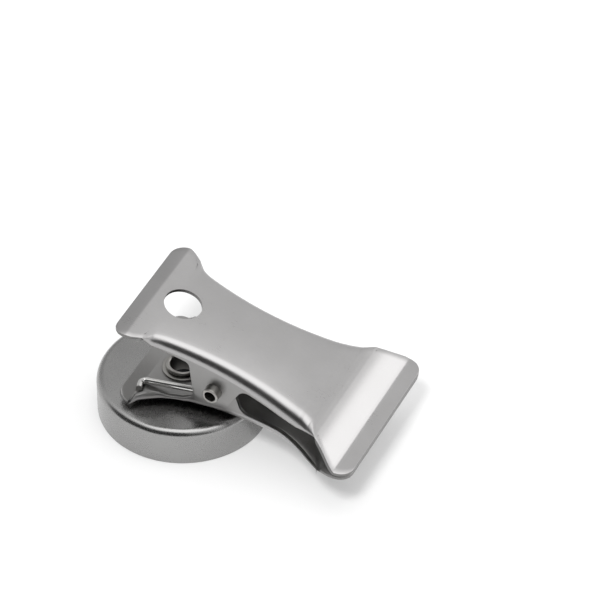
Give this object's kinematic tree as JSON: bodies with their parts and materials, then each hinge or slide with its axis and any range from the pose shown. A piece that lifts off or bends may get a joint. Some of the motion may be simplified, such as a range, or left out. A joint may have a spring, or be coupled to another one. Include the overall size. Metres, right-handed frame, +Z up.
{
  "type": "magnetic clip",
  "caption": "Sprung sheet-steel clip with a wide mouth and short squeeze handles, riveted on a round pot magnet that holds it to a steel surface.",
  "frame": {"origin": "centre of the magnetic face, on the axis of the magnet's hole", "axes": "+X from the magnet towards the clip's mouth, +Z up out of the magnetic face, Y along the hinge pin"},
  "size_m": [0.0569, 0.033, 0.0261],
  "materials": {
    "sheet_steel": "satin nickel-plated pressed steel",
    "cup_steel": "satin nickel-plated drawn steel",
    "rivet_steel": "plated steel, smooth",
    "spring_steel": "bright plated spring wire",
    "ferrite": "matt sintered ferrite",
    "resin": "dull cast resin"
  },
  "bodies": {
    "base": {"magnet_cup": "cup_steel", "ring_magnet": "ferrite", "resin_ring": "resin", "hollow_rivet": "rivet_steel", "rivet_washer": "rivet_steel", "lower_jaw": "sheet_steel", "hinge_pin": "rivet_steel", "torsion_spring": "spring_steel"},
    "upper": {"upper_jaw": "sheet_steel"}
  },
  "joints": [
    {"name": "jaw_open", "type": "hinge", "parent": "base", "child": "upper", "pos_m": [0.0108, 0, 0.0151], "axis": [0, -1, 0], "range_deg": [0, 38], "stiffness_Nm_per_rad": 0.35, "springref_deg": -34.38, "deforming": ["torsion_spring"]}
  ]
}
